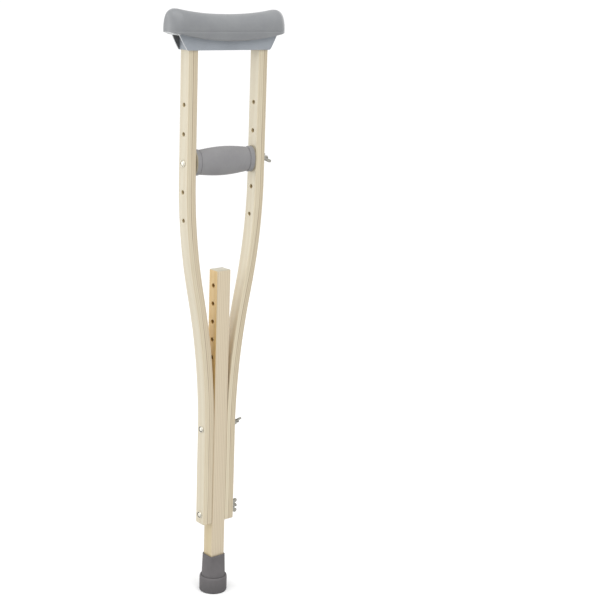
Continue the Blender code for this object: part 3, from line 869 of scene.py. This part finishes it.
def makeSleeve():
    half = sleeveHigh.x
    middle = (sleeveHigh.z - sleeveLow.z) / 2
    barrel = half - grip["collarLength"]
    soft, groove = grip["collarRound"], grip["groove"]
    right = []
    for step in range(grip["waistSteps"]):
        share = step / grip["waistSteps"]
        right.append((barrel * share, grip["waist"] + (middle - grip["waist"]) * cos(pi / 2 * share)))
    right += arc(barrel - groove, grip["waist"] - groove * 0.6, groove * 0.6, 90, 20, 4)
    right += [(barrel - groove * 0.3, grip["waist"] - groove), (barrel, grip["waist"] - groove)]
    right += arc(barrel + soft + groove * 0.5, grip["collar"] - soft, soft, 180, 90, 6)
    flat, ease = grip["flangeWidth"], grip["flangeRound"]
    right += [(half - flat, grip["collar"])]
    right += arc(half - flat + ease, grip["flange"] - ease, ease, 180, 90, 3)
    right += arc(half - ease, grip["flange"] - ease, ease, 90, 0, 3)
    right += [(half, grip["bore"] + grip["boreFlare"]), (half - grip["boreEase"], grip["bore"])]
    left = [(-x, radius) for x, radius in reversed(right[1:])]
    outline = left + right
    piece = turnAlongX("gripBarrel", outline + outline[:1], gripHeight, grip["turnSteps"])
    for vertex in piece.data.vertices:
        radius = hypot(vertex.co.y, vertex.co.z - gripHeight)
        # round at the bore, oval from there outwards
        share = min(max((radius - grip["bore"]) / grip["ovalFrom"], 0), 1)
        vertex.co.y *= 1 + (grip["flatness"] - 1) * share
    return piece


gripBarrel = makeSleeve()
finishPiece(gripBarrel, "grip", "grip_rubber", gripRubber, "handgrip_sleeve")
flangeStart = sleeveHigh.x - grip["flangeWidth"] - tiny
# the end flanges take the painted shade of the gap
dressFaces(gripBarrel, gripEndPaintedShade, lambda middle, normal: abs(middle.x) > flangeStart)
print("grip made")

# Bolts, washers and wing nuts

bolt = {
    "radius": 0.0024,
    "headHeight": 0.0027,      # of the solid's head; the crown stays lower
    "headShape": (             # height over the bow in metres, share of the head's radius
        (0.00170, 0.00), (0.00166, 0.18), (0.00155, 0.36), (0.00135, 0.52), (0.00105, 0.61),
        (0.00075, 0.67), (0.00070, 0.74), (0.00095, 0.81), (0.00130, 0.86), (0.00138, 0.91),
        (0.00120, 0.96), (0.00080, 1.00), (0.00010, 1.00), (0.00000, 0.98),
    ),
    "ring": (0.60, 0.85),      # where the valley between button and rim gets painted shade
    "neck": 0.0003,            # fillet under the head
    "turnSteps": 40,
    "beyond": 0.0022,          # the end stands out past the solid, level with the wings
    "threadPitch": 0.00105833,
    "threadDepth": 0.00042,
    "threadLength": 0.0160,
    "pointsPerThread": 8,
    "tipChamfer": 0.0006,
}
washer = {"hole": 0.0027, "edgeEase": 0.00025, "turnSteps": 48}
wingNut = {
    "baseRadius": 0.0049,
    "topRadius": 0.0039,
    "height": 0.0056,
    "span": 0.0214,
    "wingHeight": 0.0114,
    "tipRadius": 0.0031,
    "thickness": 0.0018,
    "rootThickness": 0.0027,
    "rootTaper": 1.5,
    "rootHeights": (0.14, 0.9),    # shares of the hub's height where a wing starts and ends
    "bore": 0.00255,
    "turnSteps": (48, 40),     # of the hub and of the bore
    "voxel": 0.00024,
}


def makeBolt(name, node):
    low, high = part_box(node)
    height = (low.z + high.z) / 2
    head = (high.z - low.z) / 2
    under = low.x + bolt["headHeight"]
    end = high.x + bolt["beyond"]
    profile = [(under - rise, head * share) for rise, share in bolt["headShape"]]
    radius, pitch, chamfer = bolt["radius"], bolt["threadPitch"], bolt["tipChamfer"]
    profile += [(under, radius + bolt["neck"]), (under + bolt["neck"], radius)]
    start = end - bolt["threadLength"]
    steps = int((bolt["threadLength"] - chamfer) / pitch * bolt["pointsPerThread"])
    profile += [(start + pitch / bolt["pointsPerThread"] * step, radius) for step in range(steps)]
    profile += [(end - chamfer, radius), (end, radius - chamfer), (end, 0)]
    piece = turnAlongX(name, profile, height, bolt["turnSteps"])
    for vertex in piece.data.vertices:
        y, z = vertex.co.y, vertex.co.z - height
        if vertex.co.x < start or abs(hypot(y, z) - radius) > tiny:
            continue
        # the thread's valley winds round and runs out at its inner end
        turns = (vertex.co.x - start) / pitch
        phase = (turns - atan2(z, y) / (2 * pi)) % 1
        valley = bolt["threadDepth"] * (1 - abs(2 * phase - 1)) * min(turns, 1)
        shrink = (radius - valley) / radius
        vertex.co.y, vertex.co.z = y * shrink, height + z * shrink
    return piece


def shadeHeadValley(piece, node, material):
    # paints shade into the valley round the head's button
    low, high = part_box(node)
    height, head = (low.z + high.z) / 2, (high.z - low.z) / 2
    inside, outside = bolt["ring"]

    def inValley(middle, normal):
        share = hypot(middle.y, middle.z - height) / head
        return middle.x < low.x + bolt["headHeight"] and inside < share < outside

    dressFaces(piece, material, inValley)
    dressFaces(piece, castZinc, lambda middle, normal: middle.x > low.x + bolt["headHeight"] + tiny)


def makeWasher(name, node):
    low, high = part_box(node)
    height = (low.z + high.z) / 2
    edge = (high.z - low.z) / 2
    ease = washer["edgeEase"]
    profile = [(low.x, washer["hole"]), (low.x, edge - ease), (low.x + ease, edge), (high.x - ease, edge)]
    profile += [(high.x, edge - ease), (high.x, washer["hole"] + ease), (high.x - ease, washer["hole"])]
    return turnAlongX(name, profile + profile[:1], height, washer["turnSteps"])


def makeNutForm():
    # a cast wing nut standing on its base, with its thread along Z
    base, top, height = wingNut["baseRadius"], wingNut["topRadius"], wingNut["height"]
    hubSteps, boreSteps = wingNut["turnSteps"]
    outline = [(0, 0), (0, base), (height * 0.2, base), (height, top), (height, 0)]
    hub = turnAlongX("nutHub", outline, 0, hubSteps)
    hub.data.transform(Matrix.Rotation(-pi / 2, 4, "Y"))
    tip = wingNut["tipRadius"]
    first, last = wingNut["rootHeights"]
    ear = [(top * 0.5, height * first)]
    ear += arc(wingNut["span"] / 2 - tip, wingNut["wingHeight"] - tip, tip, -55, 150, 14)
    ear.append((top * 0.5, height * last))
    for side in (1, -1):
        flat = drawLine("nutEar", [(side * x, -wingNut["thickness"] / 2, z) for x, z in ear + ear[:1]])
        cleanUp(flat)
        pickAll(flat)
        bpy.ops.mesh.edge_face_add()
        bpy.ops.mesh.extrude_region_move(TRANSFORM_OT_translate={"value": (0, wingNut["thickness"], 0)})
        leaveEdit()
        for vertex in flat.data.vertices:
            out = min(abs(vertex.co.x) / (wingNut["span"] / 2), 1)
            swell = (wingNut["rootThickness"] / wingNut["thickness"] - 1) * (1 - out) ** wingNut["rootTaper"]
            vertex.co.y *= 1 + swell
        cleanUp(flat)
        cut(hub, flat, "UNION")
    applyModifier(hub, "REMESH", mode="VOXEL", voxel_size=wingNut["voxel"])
    applyModifier(hub, "SMOOTH", factor=0.5, iterations=4)
    reach, wide = height * 2, wingNut["bore"]
    bore = turnAlongX("bore", [(-reach, 0), (-reach, wide), (reach, wide), (reach, 0)], 0, boreSteps)
    bore.data.transform(Matrix.Rotation(-pi / 2, 4, "Y"))
    cut(hub, bore)
    cleanUp(hub, tiny / 10)
    return hub


def placeNut(form, name, node, turn):
    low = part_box(node)[0]
    washerLow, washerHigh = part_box(node.replace("wing_nut", "washer"))
    height = (washerLow.z + washerHigh.z) / 2
    piece = form.copy()
    piece.data = form.data.copy()
    piece.name = name
    bpy.context.scene.collection.objects.link(piece)
    place = Matrix.Translation((low.x, 0, height))
    piece.data.transform(place @ Matrix.Rotation(radians(turn), 4, "X") @ Matrix.Rotation(pi / 2, 4, "Y"))
    return piece


# for each fixing, what its pieces and bodies are called and its wing nut's turn in degrees
fixings = {
    "handgrip": ("grip", -60),
    "upper_leg": ("upper", 45),
    "lower_leg": ("lower", 0),
}
nutForm = makeNutForm()
for prefix, (label, turn) in fixings.items():
    shank = makeBolt(label + "BoltTurned", prefix + "_bolt")
    finishPiece(shank, label + "_bolt", "steel", zinc, prefix + "_bolt")
    shadeHeadValley(shank, prefix + "_bolt", softValleyPaintedShadeZinc if label == "grip" else valleyPaintedShadeZinc)
    ring = makeWasher(label + "WasherRing", prefix + "_washer")
    finishPiece(ring, label + "_washer", "steel", zinc, prefix + "_washer")
    nut = placeNut(nutForm, label + "WingedNut", prefix + "_wing_nut", turn)
    finishPiece(nut, label + "_nut", "steel", castZinc, prefix + "_wing_nut", sharpAngle=50)
bpy.data.objects.remove(nutForm)
print("bolts, washers and wing nuts made")

# Foot tip

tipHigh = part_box("foot_tip")[1]

tip = {
    "baseHeight": 0.0188,
    "shoulder": 0.0044,
    "shoulderRadius": 0.0179,
    "shoulderEase": 0.0003,
    "creaseDepth": 0.0010,     # groove between the shoulder and the sleeve's foot
    "creaseWidth": 0.0005,
    "footRadius": 0.0168,
    "edgeRound": 0.0018,
    "rimWall": 0.0018,
    "rimRound": 0.0006,
    "mouthFlare": 0.0006,
    "mouthDepth": 0.0016,
    "squareness": 6.5,
    "holeSquareness": 9,
    "turnPower": 0.8,          # below 1 the sleeve turns square early
    "floor": 0.0133,
    "gap": 0.0003,
    "treadDepth": 0.0020,
    "treadCentre": 0.0075,
    "treadLand": 0.0035,
    "treadGroove": 0.0022,
    "treadGrooves": 2,
    "points": 120,
    "shoulderSteps": 10,
    "sleeveSteps": 12,
}


def squircle(wide, deep, power):
    points = []
    for step in range(tip["points"]):
        x, y = cos(2 * pi * step / tip["points"]), sin(2 * pi * step / tip["points"])
        size = (abs(2 * x / wide) ** power + abs(2 * y / deep) ** power) ** (-1 / power)
        points.append(Vector((size * x, size * y, 0)))
    return points


def atHeight(outline, height):
    return [Vector((point.x, point.y, height)) for point in outline]


def circleRings(places):
    # round outlines from pairs of radius and height
    return [atHeight(squircle(2 * radius, 2 * radius, 2), height) for radius, height in places]


def tipRings():
    base = tipHigh.x
    roomX = legHigh.x - legLow.x + 2 * tip["gap"]
    roomY = legHigh.y - legLow.y + 2 * tip["gap"]
    rings = []
    radius = tip["treadCentre"]
    for groove in range(tip["treadGrooves"]):
        wall = radius + tip["treadGroove"]
        deep = tip["treadDepth"]
        rings += circleRings([(radius, 0), (radius, deep), (wall, deep), (wall, 0)])
        radius = wall + tip["treadLand"]
    soft = tip["edgeRound"]
    rings += circleRings(arc(base - soft, soft, soft, -90, 0, 8))
    rim = squircle(roomX + 2 * tip["rimWall"], roomY + 2 * tip["rimWall"], tip["squareness"])
    hole = squircle(roomX, roomY, tip["holeSquareness"])
    flare = tip["mouthFlare"]
    mouth = squircle(roomX + 2 * flare, roomY + 2 * flare, tip["holeSquareness"])
    crest = tip["baseHeight"] + tip["shoulder"]
    shoulder, foot = tip["shoulderRadius"], tip["footRadius"]
    for step in range(tip["shoulderSteps"] + 1):
        angle = pi / 2 * step / tip["shoulderSteps"]
        reach = shoulder + (base - shoulder) * cos(angle)
        rings += circleRings([(reach, tip["baseHeight"] + tip["shoulder"] * sin(angle))])
    ease, deep = tip["shoulderEase"], tip["creaseDepth"]
    crease = [(shoulder - ease, crest - ease), (shoulder - tip["creaseWidth"], crest - 0.9 * deep)]
    rings += circleRings(crease + [(foot, crest - deep), (foot, crest)])
    circle = squircle(2 * foot, 2 * foot, 2)
    top, ease = tipHigh.z, tip["rimRound"]
    for step in range(tip["sleeveSteps"]):
        share = (step + 1) / tip["sleeveSteps"]
        square = share ** tip["turnPower"]
        ring = [a * (1 - square) + b * square for a, b in zip(circle, rim)]
        rings.append(atHeight(ring, crest + (top - ease - crest) * share))
    rings.append(atHeight([a * 0.7 + b * 0.3 for a, b in zip(rim, mouth)], top))
    rings.append(atHeight([a * 0.2 + b * 0.8 for a, b in zip(rim, mouth)], top))
    rings.append(atHeight(mouth, top - ease * 0.5))
    rings.append(atHeight(hole, top - tip["mouthDepth"]))
    rings.append(atHeight(hole, tip["floor"]))
    return rings


footRubber = skinRings("footRubber", tipRings())
finishPiece(footRubber, "leg", "tip_rubber", tipRubber, "foot_tip", sharpAngle=40)
print("foot tip made")

# Hidden pieces keep their own shapes

hiddenPieces = {
    "underarm_crosspiece": bareWood,
    "handgrip_core": bareWood,
    "left_crosspiece_screw": zinc,
    "right_crosspiece_screw": zinc,
    "tip_washer": zinc,
}
for node, material in hiddenPieces.items():
    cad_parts[node].data.materials.clear()
    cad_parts[node].data.materials.append(material)
print("hidden pieces given their finish")

# Floor, light and camera

studio = {
    "floorSize": 120.0,
    "floorShown": 1.0,         # the floor as the camera and polished metal see it
    "floorForLight": 0.70,     # the floor as it throws light back up
    "ambient": 0.46,
    "sunFrom": (-0.22, -0.42, 0.88),
    "sunPower": 2.15,
    "sunSoftness": 75,         # width of the light in degrees
    "lampPlace": (-1.75, 1.0, 1.1),
    "lampAim": (0, 0, 0.5),
    "lampSize": 1.6,
    "lampPower": 15.0,
    "fillPlace": (1.9, 0.5, 1.1),
    "fillPower": 5.5,
}


def shownRays(tree):
    # 1 where the camera looks, straight or through glossy or clear surfaces
    rays = Signal(tree).node("LightPath").output.node
    shown, glossy, clear = [Signal(tree, rays.outputs[name]) for name in
                            ("Is Camera Ray", "Is Glossy Ray", "Is Transmission Ray")]
    return shown.math("MAXIMUM", shown.math("MAXIMUM", shown, glossy), clear)


def makeFloor():
    deselect()
    bpy.ops.mesh.primitive_plane_add(size=studio["floorSize"], location=(0, 0, 0))
    floor = bpy.context.object
    floor.name = "studioFloor"
    material, start, shader = newMaterial("studioFloor")
    dull, bright = studio["floorForLight"], studio["floorShown"]
    wire(shader, BaseColor=shownRays(start.tree) * (bright - dull) + dull, Roughness=1.0)
    shader.inputs["Specular IOR Level"].default_value = 0
    floor.data.materials.append(material)


def makeWorld():
    world = bpy.data.worlds.new("studioWorld")
    bpy.context.scene.world = world
    world.use_nodes = True
    back = world.node_tree.nodes["Background"]
    back.inputs["Color"].default_value = (1, 1, 1, 1)
    strength = shownRays(world.node_tree) * (1 - studio["ambient"]) + studio["ambient"]
    world.node_tree.links.new(strength.output, back.inputs["Strength"])


def addLamp(name, kind, place, aim, power):
    lamp = bpy.data.lights.new(name, kind)
    lamp.energy = power
    holder = bpy.data.objects.new(name, lamp)
    holder.location = place
    holder.rotation_euler = (Vector(place) - Vector(aim)).to_track_quat("Z", "Y").to_euler()
    bpy.context.scene.collection.objects.link(holder)
    return lamp


def makeLamps():
    # a wide sun from above, a soft lamp on the left, a little behind, and a weak one on the right
    sun = addLamp("softSun", "SUN", studio["sunFrom"], (0, 0, 0), studio["sunPower"])
    sun.angle = radians(studio["sunSoftness"])
    panel = addLamp("leftPanel", "AREA", studio["lampPlace"], studio["lampAim"], studio["lampPower"])
    fill = addLamp("rightPanel", "AREA", studio["fillPlace"], studio["lampAim"], studio["fillPower"])
    panel.size = fill.size = studio["lampSize"]


makeFloor()
makeWorld()
makeLamps()

shot = {
    "place": (-1.09020, -1.43283, 0.86921),
    "aim": (0.63474, 0.73588, -0.23578),
    "rollDegrees": 2.131,
    "lensMm": 81.034,
    "sensorMm": 36.0,
}


def makeCamera():
    lens = bpy.data.cameras.new("photoCamera")
    lens.lens = shot["lensMm"]
    lens.sensor_width = shot["sensorMm"]
    lens.sensor_fit = "HORIZONTAL"
    view = bpy.data.objects.new("photoCamera", lens)
    view.location = shot["place"]
    aim = Vector(shot["aim"]).to_track_quat("-Z", "Y")
    view.rotation_euler = (aim @ Quaternion((0, 0, 1), radians(shot["rollDegrees"]))).to_euler()
    bpy.context.scene.collection.objects.link(view)
    bpy.context.scene.camera = view


makeCamera()
bpy.context.scene.view_settings.view_transform = "Standard"
print("floor, light and camera made")

deselect()
